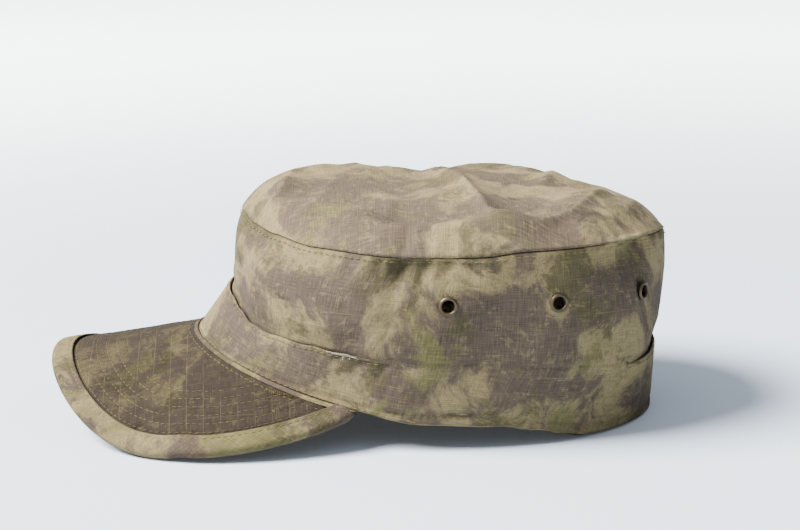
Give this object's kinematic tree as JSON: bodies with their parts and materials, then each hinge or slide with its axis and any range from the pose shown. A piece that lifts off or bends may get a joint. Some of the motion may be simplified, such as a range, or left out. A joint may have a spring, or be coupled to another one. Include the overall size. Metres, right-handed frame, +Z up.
{
  "type": "patrol cap",
  "caption": "Camouflage ripstop patrol cap with a flat puffy crown, metal eyelets in the sides and a curved, bound peak.",
  "frame": {"origin": "on the table, under the middle of the cap's overall length and width", "axes": "+Z up, the peak points to -Y, +X to the wearer's left"},
  "size_m": [0.185, 0.2918, 0.1142],
  "materials": {
    "cloth": "matt ripstop cloth printed in camouflage",
    "peak_cloth": "matt ripstop cloth over a stiff board, quilted",
    "binding": "matt bias-cut cloth",
    "brass": "dark antique"
  },
  "bodies": {
    "root": {"crown_top": "cloth", "side_wall": "cloth", "front_band": "cloth", "back_band": "cloth", "rim_band": "cloth", "peak": "peak_cloth", "peak_binding": "binding", "joint_welt": "binding", "eyelet_left_1": "brass", "eyelet_left_2": "brass", "eyelet_left_3": "brass", "eyelet_right_1": "brass", "eyelet_right_2": "brass", "eyelet_right_3": "brass"}
  },
  "joints": []
}
